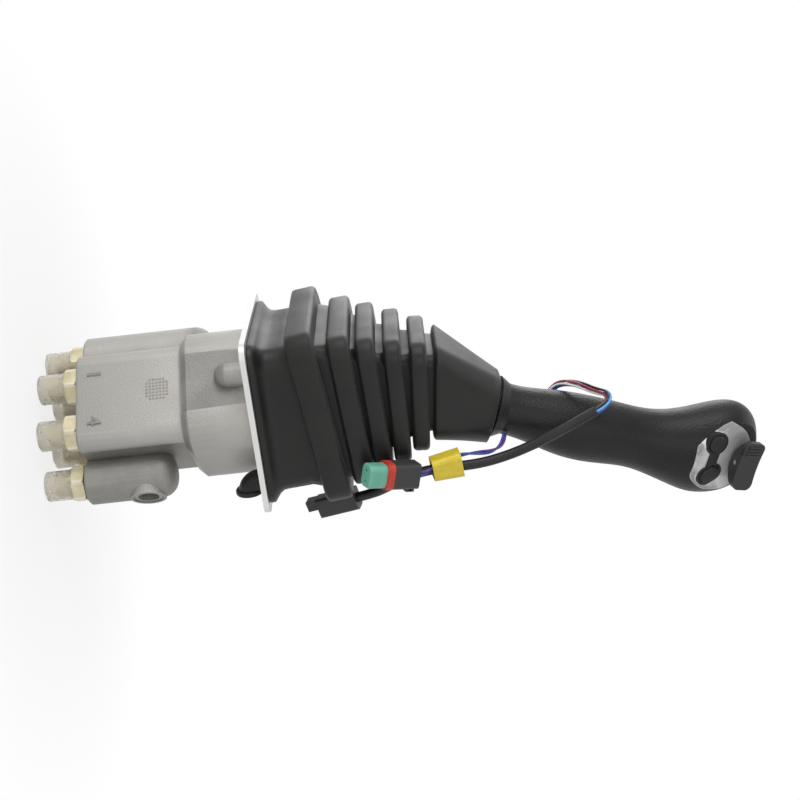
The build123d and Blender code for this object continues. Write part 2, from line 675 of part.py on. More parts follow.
def make_joint_cross():
    block = Pos(0, 0, PIVOT_Z) * Box(CROSS_SIDE, CROSS_SIDE, CROSS_SIDE)
    block = chamfer(block.edges(), 0.7)
    reach = 2 * (CROSS_SIDE / 2 + EAR_GAP + EAR_T)
    block += Pos(0, 0, PIVOT_Z) * Rot(0, 90, 0) * Cylinder(TRUNNION_R, reach)
    block += Pos(0, 0, PIVOT_Z) * Rot(90, 0, 0) * Cylinder(TRUNNION_R, reach)
    return block


def make_joint_yoke():
    hub_bottom = DISC_BOTTOM - YOKE_HUB_T
    hub = cylinder(YOKE_HUB_R, hub_bottom, DISC_BOTTOM)
    hub += cylinder(YOKE_STUD_D / 2, DISC_BOTTOM, DISC_BOTTOM + YOKE_STUD_L)
    gap = CROSS_SIDE / 2 + EAR_GAP
    yoke_ear = ear(gap, EAR_T, PIVOT_Z, hub_bottom + 0.5, CROSS_SIDE)
    return hub + Rot(0, 0, 90) * yoke_ear + Rot(0, 0, -90) * yoke_ear


def make_disc():
    disc = cylinder(DISC_R, DISC_BOTTOM, DISC_TOP)
    upper = disc.edges().filter_by(GeomType.CIRCLE).sort_by(Axis.Z)[-1]
    disc = chamfer(upper, 2.5, 3.5)
    disc = fillet(disc.edges().filter_by(GeomType.CIRCLE).sort_by(Axis.Z)[0], 1.0)
    return disc - cylinder(YOKE_STUD_D / 2 + THREAD_GAP, DISC_BOTTOM, DISC_TOP)


def make_nut(bottom, thickness):
    nut = hexagon(NUT_HEX, bottom, bottom + thickness)
    return nut - cylinder(YOKE_STUD_D / 2 + THREAD_GAP, bottom, bottom + thickness)


def make_lever_stem():
    bottom = DISC_TOP + DISC_NUT_T + LOCK_NUT_T
    socket_top = bottom + STEM_SOCKET_L
    socket = hexagon(NUT_HEX, bottom, socket_top, chamfer_size=1.5)
    end = HANDLE.from_local_coords((0, 0, STEM_END_S))
    path = FilletPolyline((0, 0, socket_top - 2), (0, 0, BEND_Z), end, radius=STEM_BEND_R)
    rod = sweep(Plane(origin=path @ 0, z_dir=path % 0) * Circle(STEM_D / 2), path=path)
    bore_top = DISC_BOTTOM + YOKE_STUD_L + 1
    return socket + rod - cylinder(YOKE_STUD_D / 2 + THREAD_GAP, bottom, bore_top)


# ---------------------------------------------------------------- boot
def tilted(x, z, tilt):
    """Plane square to the boot's axis at one height."""
    turn = math.radians(tilt)
    return Plane(
        origin=(x, 0, z),
        x_dir=(math.cos(turn), 0, -math.sin(turn)),
        z_dir=(math.sin(turn), 0, math.cos(turn)),
    )


def square_loft(plane_a, side_a, corner_a, plane_b, side_b, corner_b):
    """Rounded square tube section between two planes."""
    return loft(
        [
            plane_a * RectangleRounded(side_a, side_a, corner_a),
            plane_b * RectangleRounded(side_b, side_b, corner_b),
        ],
        ruled=True,
    )


def boot_skin(inset):
    """The boot's outer form, or its hollow when inset by the wall."""
    shrink = 2 * inset
    corner = BOOT_CORNER_R - inset
    base = tilted(0, PLATE_T, 0)
    lip_top = tilted(0, PLATE_T + BOOT_LIP_T, 0)
    collar = tilted(0, BOOT_COLLAR_Z, 0)
    cone_axis = HANDLE.from_local_coords((0, 0, CONE_END_S))
    cone_low = tilted(0.4, CONE_START[0] + inset, CONE_START[2])
    end_s = CONE_END_S if inset == 0 else CONE_END_S - CONE_LIP
    cone_end_at = HANDLE.from_local_coords((0, 0, end_s))
    cone_high = tilted(cone_end_at.X, cone_end_at.Z, CONE_END_TILT)
    planes = [tilted(x, z, tilt) for x, z, side, thick, tilt in BOOT_RIBS] + [cone_low]
    form = square_loft(base, BOOT_LIP_SIDE - shrink, corner, lip_top, BOOT_LIP_SIDE - shrink, corner)
    form += square_loft(lip_top, BOOT_LIP_SIDE - shrink, corner, collar, BOOT_COLLAR_SIDE - shrink, corner)
    form += square_loft(collar, BOOT_COLLAR_SIDE - shrink, corner, planes[0], BOOT_COLLAR_SIDE - shrink, corner)
    for low, high, side in zip(planes[:-1], planes[1:], BOOT_VALLEYS):
        form += square_loft(low, side - shrink, corner, high, side - shrink, corner)
    for plane, (x, z, side, thick, tilt) in zip(planes, BOOT_RIBS):
        slab = extrude(plane * RectangleRounded(side - shrink, side - shrink, corner), (thick - shrink) / 2, both=True)
        if inset == 0:
            slab = fillet(slab.faces().filter_by(GeomType.PLANE).group_by(Axis.Z)[-1].edges(), BOOT_EDGE_R)
            slab = fillet(slab.faces().filter_by(GeomType.PLANE).group_by(Axis.Z)[0].edges(), BOOT_EDGE_R)
        form += slab
    form += square_loft(
        cone_low, CONE_START[1] - shrink, corner, cone_high, CONE_END_SIDE - shrink, CONE_END_CORNER_R - inset
    )
    return form


def make_boot():
    boot = boot_skin(0) - boot_skin(BOOT_WALL)
    neck = HANDLE * Pos(0, 0, CONE_END_S - 2 * CONE_LIP) * Cylinder(
        GRIP_SECTIONS[0][2] + 2 * SOFT_GAP, 4 * CONE_LIP, align=(Align.CENTER, Align.CENTER, Align.MIN)
    )
    return boot - neck


# ---------------------------------------------------------------- grip and switches
def grip_form():
    """The grip's outer form, before the panel face is cut."""
    sections = []
    for s, p, half_w, half_d in GRIP_SECTIONS:
        sections.append(HANDLE * Pos(p, 0, s) * Ellipse(half_w, half_d))
    form = loft(sections)
    skirt = HANDLE * Pos(0, 0, GRIP_SKIRT_S) * Cone(
        GRIP_SKIRT_R, GRIP_SECTIONS[1][2] - 0.4, GRIP_SKIRT_L, align=(Align.CENTER, Align.CENTER, Align.MIN)
    )
    return form + skirt


def panel_slab(low, high):
    """Large slab between two depths of the panel's plane."""
    return PANEL * Pos(0, 0, low) * Box(120, 120, high - low, align=(Align.CENTER, Align.CENTER, Align.MIN))


def panel_plate():
    """The switch panel's egg-shaped plate, let into the grip's face."""
    outline = make_face(Spline(*PANEL_OUTLINE, periodic=True))
    return PANEL * Pos(0, 0, -PANEL_T) * extrude(outline, PANEL_T)


def bean(length, width):
    """Lower button's outline, in the panel's plane."""
    return Pos(BUTTON_2[0], BUTTON_2[1]) * Rot(0, 0, BUTTON_2_TURN) * SlotOverall(length, width)


def hourglass(grow):
    """Outline round both buttons with a waist between them."""
    shape = Pos(*BUTTON_1) * Circle(BUTTON_1_R + SOFT_GAP + BEZEL_BAND + grow)
    band = 2 * (SOFT_GAP + BEZEL_BAND + grow)
    shape += bean(BUTTON_2_L + band, BUTTON_2_W + band)
    middle = ((BUTTON_1[0] + BUTTON_2[0]) / 2, (BUTTON_1[1] + BUTTON_2[1]) / 2)
    waist = Rectangle(BEZEL_WAIST + 2 * grow, BUTTON_1[1] - BUTTON_2[1])
    return shape + Pos(*middle) * waist


def make_grip():
    body = grip_form() - panel_slab(0, 60) - panel_plate()
    body -= make_cord("wire entry", BUNDLE_ROUTE, BUNDLE_D + 2 * SOFT_GAP)
    pocket = Pos(*POCKET_AT) * RectangleRounded(*POCKET_SIZE, POCKET_CORNER_R)
    body -= PANEL * Pos(0, 0, -PANEL_T - POCKET_DEPTH) * extrude(pocket, POCKET_DEPTH)
    start = GRIP_SECTIONS[0][0]
    bore_top = STEM_END_S + 2
    body -= HANDLE * Pos(0, 0, start) * Cylinder(
        STEM_D / 2 + THREAD_GAP, bore_top - start, align=(Align.CENTER, Align.CENTER, Align.MIN)
    )
    body -= HANDLE * Pos(0, 0, start) * Cylinder(
        INSERT_R, INSERT_L, align=(Align.CENTER, Align.CENTER, Align.MIN)
    )
    return body


def make_grip_insert():
    start = GRIP_SECTIONS[0][0]
    bush = HANDLE * Pos(0, 0, start) * Cylinder(
        INSERT_R, INSERT_L, align=(Align.CENTER, Align.CENTER, Align.MIN)
    )
    return bush - HANDLE * Pos(0, 0, start) * Cylinder(
        STEM_D / 2 + THREAD_GAP, INSERT_L, align=(Align.CENTER, Align.CENTER, Align.MIN)
    )


def rocker_foot(grow, bottom, top):
    """Foot of the rocker's bracket, where it passes through the panel."""
    foot = Rectangle(2 * EAR_HALF_W + 2 * grow, 14 + 2 * grow)
    return ROCKER * Pos(0, 0, bottom) * extrude(foot, top - bottom)


def make_switch_panel():
    panel = grip_form() & panel_plate()
    panel -= PANEL * Pos(0, 0, -PANEL_T) * extrude(hourglass(0), PANEL_T)
    return panel - rocker_foot(0, -PANEL_T, 0)


def make_button_bezel():
    bezel = extrude(hourglass(0), PANEL_T + BEZEL_RISE)
    bezel -= extrude(Pos(*BUTTON_1) * Circle(BUTTON_1_R + SOFT_GAP), PANEL_T + BEZEL_RISE)
    bezel -= extrude(bean(BUTTON_2_L + 2 * SOFT_GAP, BUTTON_2_W + 2 * SOFT_GAP), PANEL_T + BEZEL_RISE)
    return PANEL * Pos(0, 0, -PANEL_T) * bezel


def make_button(outline, flange):
    """Push button: crowned cap above the bezel, retaining flange under the panel."""
    cap = extrude(outline, PANEL_T + BUTTON_RISE + SOFT_GAP)
    cap = fillet(cap.edges().group_by(Axis.Z)[-1], 1.5)
    button = Pos(0, 0, -PANEL_T - SOFT_GAP) * cap
    button += Pos(0, 0, -PANEL_T - SOFT_GAP - 1.2) * extrude(flange, 1.2)
    return PANEL * button


def make_upper_button():
    return make_button(
        Pos(*BUTTON_1) * Circle(BUTTON_1_R), Pos(*BUTTON_1) * Circle(BUTTON_1_R + BUTTON_FLANGE)
    )


def make_lower_button():
    return make_button(
        bean(BUTTON_2_L, BUTTON_2_W), bean(BUTTON_2_L + 2 * BUTTON_FLANGE, BUTTON_2_W + 2 * BUTTON_FLANGE)
    )


def make_switch_board():
    length, width = POCKET_SIZE
    gap = 2 * BOARD_GAP
    board = Pos(*POCKET_AT) * RectangleRounded(length - gap, width - gap, POCKET_CORNER_R - BOARD_GAP)
    return PANEL * Pos(0, 0, -PANEL_T - POCKET_DEPTH) * extrude(board, BOARD_T)


def make_microswitches():
    floor = -PANEL_T - POCKET_DEPTH + BOARD_T
    top = -PANEL_T - SOFT_GAP - 1.2 - BUTTON_TRAVEL - SWITCH_GAP
    switches = []
    for e, f in (BUTTON_1, BUTTON_2):
        case = Box(SWITCH_L, SWITCH_W, top - floor, align=(Align.CENTER, Align.CENTER, Align.MIN))
        body = Pos(e + SWITCH_SHIFT, f, floor) * case
        body += Pos(e, f, top) * Cylinder(1.0, SWITCH_GAP / 2, align=(Align.CENTER, Align.CENTER, Align.MIN))
        switches.append(PANEL * body)
    return group(switches)


def make_rocker_bracket():
    bracket = rocker_foot(0, -PANEL_T, 0)
    web = Rectangle(2 * EAR_R, ROCKER_AXIS_H, align=(Align.CENTER, Align.MIN))
    web += Pos(0, ROCKER_AXIS_H) * Circle(EAR_R)
    web -= Pos(0, ROCKER_AXIS_H) * Circle(PIN_R + THREAD_GAP)
    side = Plane(origin=(-EAR_HALF_W, 0, 0), x_dir=(0, 1, 0), z_dir=(1, 0, 0)) * web
    return bracket + ROCKER * extrude(side, 2 * EAR_HALF_W)


def make_rocker_pin():
    return ROCKER * Pos(0, 0, ROCKER_AXIS_H) * Rot(0, 90, 0) * Cylinder(PIN_R, ROCKER_W - 1)


def make_thumb_rocker():
    half = ROCKER_L / 2
    under = 1.3
    knee = 5.0
    outline = [
        Line((-half, ROCKER_UNDER_H), (-knee, under)),
        Line((-knee, under), (knee, under)),
        Line((knee, under), (half, ROCKER_UNDER_H)),
        Line((half, ROCKER_UNDER_H), (half, ROCKER_END_H)),
        ThreePointArc((half, ROCKER_END_H), (0, ROCKER_MID_H), (-half, ROCKER_END_H)),
        Line((-half, ROCKER_END_H), (-half, ROCKER_UNDER_H)),
    ]
    side = Plane(origin=(-ROCKER_W / 2, 0, 0), x_dir=(0, 1, 0), z_dir=(1, 0, 0)) * make_face(outline)
    paddle = extrude(side, ROCKER_W)
    uprights = paddle.edges().filter_by(Axis.Z)
    paddle = fillet(uprights, 4.5)
    for step in range(4):
        at = half - 2.6 - 1.9 * step
        sag = (ROCKER_END_H - ROCKER_MID_H) * (at / half) ** 2 + ROCKER_MID_H
        paddle += Pos(0, at, sag) * Rot(0, 90, 0) * Cylinder(RIDGE_R, ROCKER_W - 5)
    slot_w = 2 * (EAR_HALF_W + SOFT_GAP)
    slot_top = ROCKER_AXIS_H + EAR_R + SOFT_GAP
    paddle -= Pos(0, 0, 0) * Box(slot_w, 2 * (EAR_R + 1.6), slot_top, align=(Align.CENTER, Align.CENTER, Align.MIN))
    paddle -= Pos(0, 0, ROCKER_AXIS_H) * Rot(0, 90, 0) * Cylinder(PIN_R + SLIDE_GAP, ROCKER_W)
    return ROCKER * paddle


# ---------------------------------------------------------------- harness
def cord_radii(name, route):
    """One arc radius for each corner of a route."""
    points = [Vector(*point) for point in route]
    radii = []
    for before, corner, after in zip(points[:-2], points[1:-1], points[2:]):
        run = min((corner - before).length, (after - corner).length)
        half_turn = math.radians((corner - before).get_angle(after - corner)) / 2
        radii.append(0.45 * run / math.tan(half_turn))
    print(name, "radii", [round(radius, 1) for radius in radii])
    return radii


def make_cord(name, route, diameter):
    """Round tube along straight runs joined by tangent arcs."""
    path = FilletPolyline(*route, radius=cord_radii(name, route))
    tube = sweep(Plane(origin=path @ 0, z_dir=path % 0) * Circle(diameter / 2), path=path)
    print(name, "length", round(path.length, 1), "volume ratio", round(
        tube.volume / (math.pi * diameter**2 / 4 * path.length), 4))
    return tube


def run_plane(before, start):
    """Plane at start that looks along the run from the point before it."""
    return Plane(origin=start, x_dir=(1, 0, 0), z_dir=Vector(*start) - Vector(*before))


def make_label_tape():
    length = (Vector(*TAPE_END) - Vector(*TAPE_TOP)).length
    plane = Plane(origin=TAPE_TOP, x_dir=(1, 0, 0), z_dir=Vector(*TAPE_END) - Vector(*TAPE_TOP))
    wide = (SLEEVE_D + PAIR_D + 4.2, SLEEVE_D + 4.4)
    tight = (SLEEVE_D + PAIR_D + 1.6, SLEEVE_D + 4.4)
    solids = []
    for grow in (TAPE_GAP + TAPE_T, TAPE_GAP):
        ends = []
        for (w, h), z in ((wide, 0), (tight, length)):
            outline = RectangleRounded(w + 2 * grow, h + 2 * grow, TAPE_CORNER_R + grow)
            ends.append(plane * Pos(0, 0, z) * outline)
        solids.append(loft(ends, ruled=True))
    return solids[0] - solids[1]


def make_connector_a():
    """Two-way plug: housing with latch, seal band and wedge lock, as three pieces."""
    place = run_plane(PAIR_ROUTE[-2], CONNECTOR_A_TOP).location
    housing_l = CONNECTOR_A_L * 0.52
    seal_l = CONNECTOR_A_L * 0.14
    wedge_l = CONNECTOR_A_L - housing_l - seal_l
    housing = extrude(RectangleRounded(14.6, 11.6, 2.5), housing_l)
    housing += Pos(0, -6.4, 2.0) * Box(6.5, 2.4, housing_l - 2.0, align=(Align.CENTER, Align.CENTER, Align.MIN))
    housing += Pos(0, -7.4, 2.0) * Box(6.5, 2.6, 2.2, align=(Align.CENTER, Align.CENTER, Align.MIN))
    housing += Pos(6.6, 0, 1.0) * Box(5.4, 5.5, 5.0, align=(Align.CENTER, Align.CENTER, Align.MIN))
    housing -= Pos(7.9, 0, 3.4) * Rot(90, 0, 0) * Cylinder(1.1, 10)
    seal = Pos(0, 0, housing_l) * extrude(RectangleRounded(15.4, 12.4, 4.0), seal_l)
    wedge = Pos(0, 0, housing_l + seal_l) * extrude(RectangleRounded(13.2, 10.6, 3.4), wedge_l)
    wedge = fillet(wedge.edges().group_by(Axis.Z)[-1], 1.2)
    for side in (-1, 1):
        wedge -= Pos(side * 3.0, 0, housing_l + seal_l + wedge_l - 5) * extrude(Circle(0.9), 6)
    return place * housing, place * seal, place * wedge


def make_connector_b():
    length = CONNECTOR_B_L
    housing = extrude(RectangleRounded(12.0, 10.5, 2.0), length)
    housing += Pos(-2.5, 0, length) * Box(6.0, 7.0, 6.5, align=(Align.CENTER, Align.CENTER, Align.MIN))
    housing += Pos(0, -5.4, 3.0) * Box(5.0, 2.0, length - 7.0, align=(Align.CENTER, Align.CENTER, Align.MIN))
    return run_plane(SLEEVE_ROUTE[-2], CONNECTOR_B_TOP).location * housing


# ---------------------------------------------------------------- all nodes
def main():
    os.makedirs("parts", exist_ok=True)
    save("port_block", make_port_block())
    save("casing", make_casing())
    save("chamber_seal_rings", make_seal_rings())
    save("block_bolts", make_block_bolts())
    save("mounting_plate", make_mounting_plate())
    save("plate_screws", make_plate_screws())
    save("port_seals", make_port_seals())
    save("port_fittings", make_port_fittings())
    save("dust_caps", make_dust_caps())
    save("cable_spout", make_cable_spout())
    save("rod_guide_plugs", make_rod_plugs())
    save("plug_seal_rings", make_plug_rings())
    save("rod_wipers", make_rod_wipers())
    for number, at in enumerate(PLUNGERS, start=1):
        save(f"push_rod_{number}", make_push_rod(at))
        save(f"spring_seat_{number}", make_spring_seat(at))
        save(f"return_spring_{number}", make_return_spring(at))
        save(f"balance_spring_{number}", make_balance_spring(at))
        save(f"spool_{number}", make_spool(at))
    save("joint_base", make_joint_base())
    save("joint_cross", make_joint_cross())
    save("joint_yoke", make_joint_yoke())
    save("swash_disc", make_disc())
    save("disc_nut", make_nut(DISC_TOP, DISC_NUT_T))
    save("lever_lock_nut", make_nut(DISC_TOP + DISC_NUT_T, LOCK_NUT_T))
    save("lever_stem", make_lever_stem())
    save("boot", make_boot())
    save("grip", make_grip())
    save("grip_insert", make_grip_insert())
    save("switch_panel", make_switch_panel())
    save("button_bezel", make_button_bezel())
    save("upper_button", make_upper_button())
    save("lower_button", make_lower_button())
    save("switch_board", make_switch_board())
    save("microswitches", make_microswitches())
    save("rocker_bracket", make_rocker_bracket())
    save("rocker_pin", make_rocker_pin())
    save("thumb_rocker", make_thumb_rocker())
    save("wire_bundle", make_cord("wire bundle", BUNDLE_ROUTE, BUNDLE_D))
    save("harness_sleeve", make_cord("harness sleeve", SLEEVE_ROUTE, SLEEVE_D))
    save("signal_pair", make_cord("signal pair", PAIR_ROUTE, PAIR_D))
    save("label_tape", make_label_tape())
    housing, seal, wedge = make_connector_a()
    save("connector_a_housing", housing)
    save("connector_a_seal", seal)
    save("connector_a_wedge", wedge)
    save("connector_b", make_connector_b())


main()
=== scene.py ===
"""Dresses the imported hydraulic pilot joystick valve: finishes, bellows boot, harness, light and camera."""

import math

import bpy
from mathutils import Matrix, Vector


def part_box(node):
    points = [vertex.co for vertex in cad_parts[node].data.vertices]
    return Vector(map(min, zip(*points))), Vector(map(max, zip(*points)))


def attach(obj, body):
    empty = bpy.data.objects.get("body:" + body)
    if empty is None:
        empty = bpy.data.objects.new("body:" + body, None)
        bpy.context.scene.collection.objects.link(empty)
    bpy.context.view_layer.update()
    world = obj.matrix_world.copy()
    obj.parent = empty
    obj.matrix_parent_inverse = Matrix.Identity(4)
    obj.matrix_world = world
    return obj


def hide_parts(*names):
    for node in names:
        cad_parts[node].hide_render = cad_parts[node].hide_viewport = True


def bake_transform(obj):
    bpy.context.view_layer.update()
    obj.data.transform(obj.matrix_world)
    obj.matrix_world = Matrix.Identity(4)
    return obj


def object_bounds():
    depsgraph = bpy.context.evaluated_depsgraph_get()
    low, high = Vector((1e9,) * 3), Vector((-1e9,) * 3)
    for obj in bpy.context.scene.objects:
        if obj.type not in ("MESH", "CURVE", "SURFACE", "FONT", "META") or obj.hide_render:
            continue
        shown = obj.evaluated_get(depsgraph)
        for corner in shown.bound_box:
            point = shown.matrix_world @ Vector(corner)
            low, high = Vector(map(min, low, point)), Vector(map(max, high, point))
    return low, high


MM = 0.001
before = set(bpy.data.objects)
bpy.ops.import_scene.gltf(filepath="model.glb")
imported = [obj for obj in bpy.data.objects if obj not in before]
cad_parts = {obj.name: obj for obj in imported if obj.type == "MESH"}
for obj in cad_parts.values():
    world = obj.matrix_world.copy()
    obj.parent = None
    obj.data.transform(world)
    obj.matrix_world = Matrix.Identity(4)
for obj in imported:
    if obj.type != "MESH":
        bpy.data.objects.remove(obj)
cad_box = [list(map(float, corner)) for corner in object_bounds()]

BEND_Z = 79.5                  # where the lever's two straight axes cross
BEND = math.radians(20.0)
PLATE_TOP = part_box("mounting_plate")[1].z / MM


# ---------------------------------------------------------------- materials
def new_material(name):
    """Empty node material: returns it with its tree, shader and object coordinates."""
    mat = bpy.data.materials.new(name)
    mat.use_nodes = True
    tree = mat.node_tree
    shader = tree.nodes["Principled BSDF"]
    coords = tree.nodes.new("ShaderNodeTexCoord").outputs["Object"]
    return mat, tree, shader, coords


def noise(tree, coords, size_mm, detail=3.0, rough=0.55):
    """Cloudy noise whose patches are about size_mm wide."""
    node = tree.nodes.new("ShaderNodeTexNoise")
    node.inputs["Scale"].default_value = 1000.0 / size_mm
    node.inputs["Detail"].default_value = detail
    node.inputs["Roughness"].default_value = rough
    tree.links.new(coords, node.inputs["Vector"])
    return node.outputs["Fac"]


def cells(tree, coords, size_mm):
    """Cell pattern of about size_mm, for pebbled grain."""
    node = tree.nodes.new("ShaderNodeTexVoronoi")
    node.inputs["Scale"].default_value = 1000.0 / size_mm
    tree.links.new(coords, node.inputs["Vector"])
    return node.outputs["Distance"]


def ramp(tree, value, stops):
    """Colour read from (place, colour) stops."""
    node = tree.nodes.new("ShaderNodeValToRGB")
    ramp_data = node.color_ramp
    while len(ramp_data.elements) < len(stops):
        ramp_data.elements.new(0.5)
    for element, (place, colour) in zip(ramp_data.elements, stops):
        element.position = place
        element.color = (*colour, 1.0)
    tree.links.new(value, node.inputs["Fac"])
    return node.outputs["Color"]


def remap(tree, value, low, high, start=0.3, end=0.7):
    """Stretch a value from start..end to low..high."""
    node = tree.nodes.new("ShaderNodeMapRange")
    node.inputs["From Min"].default_value = start
    node.inputs["From Max"].default_value = end
    node.inputs["To Min"].default_value = low
    node.inputs["To Max"].default_value = high
    tree.links.new(value, node.inputs["Value"])
    return node.outputs["Result"]


def mix(tree, factor, a, b):
    """Mix two colours; a and b are sockets or colours."""
    node = tree.nodes.new("ShaderNodeMix")
    node.data_type = "RGBA"
    tree.links.new(factor, node.inputs["Factor"])
    for key, value in (("A", a), ("B", b)):
        socket = [s for s in node.inputs if s.name == key and s.type == "RGBA"][0]
        if isinstance(value, tuple):
            socket.default_value = (*value, 1.0)
        else:
            tree.links.new(value, socket)
    return [s for s in node.outputs if s.type == "RGBA"][0]


def bump(tree, height, strength, distance_mm, below=None):
    """Bumped normal, laid over another one where below is given."""
    node = tree.nodes.new("ShaderNodeBump")
    node.inputs["Strength"].default_value = strength
    node.inputs["Distance"].default_value = distance_mm * MM
    tree.links.new(height, node.inputs["Height"])
    if below is not None:
        tree.links.new(below, node.inputs["Normal"])
    return node.outputs["Normal"]


def edge_mask(tree, start, end):
    """One at sharp convex edges, nought elsewhere."""
    geometry = tree.nodes.new("ShaderNodeNewGeometry")
    return remap(tree, geometry.outputs["Pointiness"], 0.0, 1.0, start, end)


def surface(name, base, patch, rough=(0.4, 0.55), metallic=0.0, patch_mm=14.0, grain_mm=0.6,
            grain=(0.25, 0.15), cell_mm=0.0, cell=(0.0, 0.0), worn=None, worn_at=(0.53, 0.6),
            sheen=0.0, coat=0.0, transmission=0.0, subsurface=0.0, specular=0.5):
    """General finish: patchy colour, uneven roughness, fine grain, optional cell pattern and worn edges."""
    mat, tree, shader, coords = new_material(name)
    links = tree.links
    broad = noise(tree, coords, patch_mm, 4.0)
    fine = noise(tree, coords, grain_mm, 2.0)
    colour = ramp(tree, broad, [(0.35, base), (0.68, patch)])
    if worn is not None:
        colour = mix(tree, edge_mask(tree, *worn_at), colour, worn)
    links.new(colour, shader.inputs["Base Color"])
    links.new(remap(tree, broad, rough[0], rough[1]), shader.inputs["Roughness"])
    normal = bump(tree, fine, grain[0], grain[1])
    if cell_mm:
        normal = bump(tree, cells(tree, coords, cell_mm), cell[0], cell[1], normal)
    links.new(normal, shader.inputs["Normal"])
    shader.inputs["Metallic"].default_value = metallic
    shader.inputs["Sheen Weight"].default_value = sheen
    shader.inputs["Coat Weight"].default_value = coat
    shader.inputs["Transmission Weight"].default_value = transmission
    shader.inputs["Subsurface Weight"].default_value = subsurface
    if subsurface:
        shader.inputs["Subsurface Scale"].default_value = 2 * MM
    shader.inputs["Specular IOR Level"].default_value = specular
    return mat


MATERIALS = {
    "cast": surface("cast_aluminium", (0.23, 0.223, 0.208), (0.34, 0.33, 0.308), (0.46, 0.62), 0.45,
                    patch_mm=22, grain_mm=0.9, grain=(0.55, 0.5), cell_mm=2.2, cell=(0.12, 0.3),
                    worn=(0.45, 0.435, 0.41)),
    "zinc": surface("zinc_plate", (0.30, 0.31, 0.31), (0.58, 0.59, 0.58), (0.3, 0.5), 0.7,
                    patch_mm=5, grain_mm=0.7, grain=(0.4, 0.3), cell_mm=3.0, cell=(0.2, 0.2),
                    worn=(0.7, 0.7, 0.69)),
    "steel": surface("turned_steel", (0.42, 0.42, 0.43), (0.55, 0.55, 0.56), (0.25, 0.4), 0.95,
                     patch_mm=8, grain_mm=0.5, grain=(0.15, 0.1)),
    "spring": surface("spring_wire", (0.22, 0.22, 0.24), (0.32, 0.32, 0.34), (0.3, 0.4), 0.9, patch_mm=6),
    "fitting": surface("fitting_plating", (0.60, 0.53, 0.34), (0.74, 0.67, 0.47), (0.3, 0.45), 0.6,
                       patch_mm=6, grain_mm=0.5, grain=(0.25, 0.2), worn=(0.8, 0.76, 0.62)),
    "cap": surface("cap_plastic", (0.93, 0.90, 0.80), (0.97, 0.95, 0.88), (0.22, 0.34), 0.0,
                   patch_mm=9, grain_mm=0.8, grain=(0.12, 0.15), transmission=0.75),
    "rubber": surface("boot_rubber", (0.007, 0.0068, 0.0064), (0.015, 0.0143, 0.0132), (0.36, 0.52), 0.0,
                      patch_mm=26, grain_mm=0.7, grain=(0.3, 0.2), worn=(0.05, 0.048, 0.044),
                      worn_at=(0.55, 0.68), sheen=0.05, specular=0.3),
    "seal": surface("seal_rubber", (0.015, 0.015, 0.015), (0.03, 0.03, 0.03), (0.45, 0.6)),
    "brass": surface("plug_brass", (0.62, 0.45, 0.2), (0.7, 0.53, 0.26), (0.3, 0.4), 0.95),
    "grip": surface("grip_grain", (0.006, 0.006, 0.0063), (0.012, 0.012, 0.012), (0.34, 0.46), 0.0,
                    patch_mm=30, grain_mm=0.45, grain=(0.3, 0.18), cell_mm=1.25, cell=(0.55, 0.28),
                    worn=(0.04, 0.04, 0.04), worn_at=(0.56, 0.7), sheen=0.02, specular=0.25),
    "key": surface("key_rubber", (0.016, 0.016, 0.016), (0.026, 0.026, 0.026), (0.45, 0.58), 0.0,
                   patch_mm=8, grain_mm=0.35, grain=(0.25, 0.1), specular=0.25),
    "rocker": surface("rocker_plastic", (0.007, 0.007, 0.007), (0.013, 0.013, 0.013), (0.32, 0.45), 0.0,
                      patch_mm=10, grain_mm=0.35, grain=(0.25, 0.1), worn=(0.04, 0.04, 0.04), specular=0.25),
    "silver": surface("silver_paint", (0.22, 0.22, 0.218), (0.30, 0.30, 0.295), (0.32, 0.42), 0.4,
                      patch_mm=18, grain_mm=0.25, grain=(0.12, 0.05), worn=(0.6, 0.6, 0.59), coat=0.2),
    "board": surface("board_mask", (0.03, 0.16, 0.06), (0.04, 0.2, 0.08), (0.3, 0.4)),
    "sleeve": surface("sleeve_vinyl", (0.010, 0.010, 0.011), (0.022, 0.022, 0.023), (0.38, 0.5), 0.0,
                      patch_mm=12, grain_mm=0.5, grain=(0.3, 0.15), specular=0.3),
    "tape": surface("tape_vinyl", (0.80, 0.60, 0.03), (0.88, 0.70, 0.06), (0.32, 0.45), 0.0,
                    patch_mm=4, grain_mm=1.4, grain=(0.35, 0.3)),
    "plug": surface("plug_plastic", (0.009, 0.009, 0.010), (0.017, 0.017, 0.018), (0.34, 0.46), 0.0,
                    patch_mm=8, grain_mm=0.4, grain=(0.2, 0.1), worn=(0.05, 0.05, 0.05), specular=0.3),
    "red": surface("seal_silicone", (0.55, 0.035, 0.02), (0.66, 0.06, 0.03), (0.35, 0.5), subsurface=0.1),
    "green": surface("wedge_plastic", (0.16, 0.50, 0.36), (0.22, 0.58, 0.44), (0.3, 0.42), subsurface=0.1),
}
WIRE_COLOURS = {
    "black": (0.012, 0.012, 0.012),
    "maroon": (0.26, 0.02, 0.03),
    "white": (0.80, 0.80, 0.82),
    "blue": (0.03, 0.09, 0.48),
    "sky": (0.12, 0.40, 0.80),
    "violet": (0.16, 0.05, 0.30),
}
for wire_name, tone in WIRE_COLOURS.items():
    lighter = tuple(min(1.0, c * 1.25 + 0.01) for c in tone)
    MATERIALS[wire_name] = surface("wire_" + wire_name, tone, lighter, (0.28, 0.38), patch_mm=3,
                                   grain_mm=0.6, grain=(0.1, 0.05))

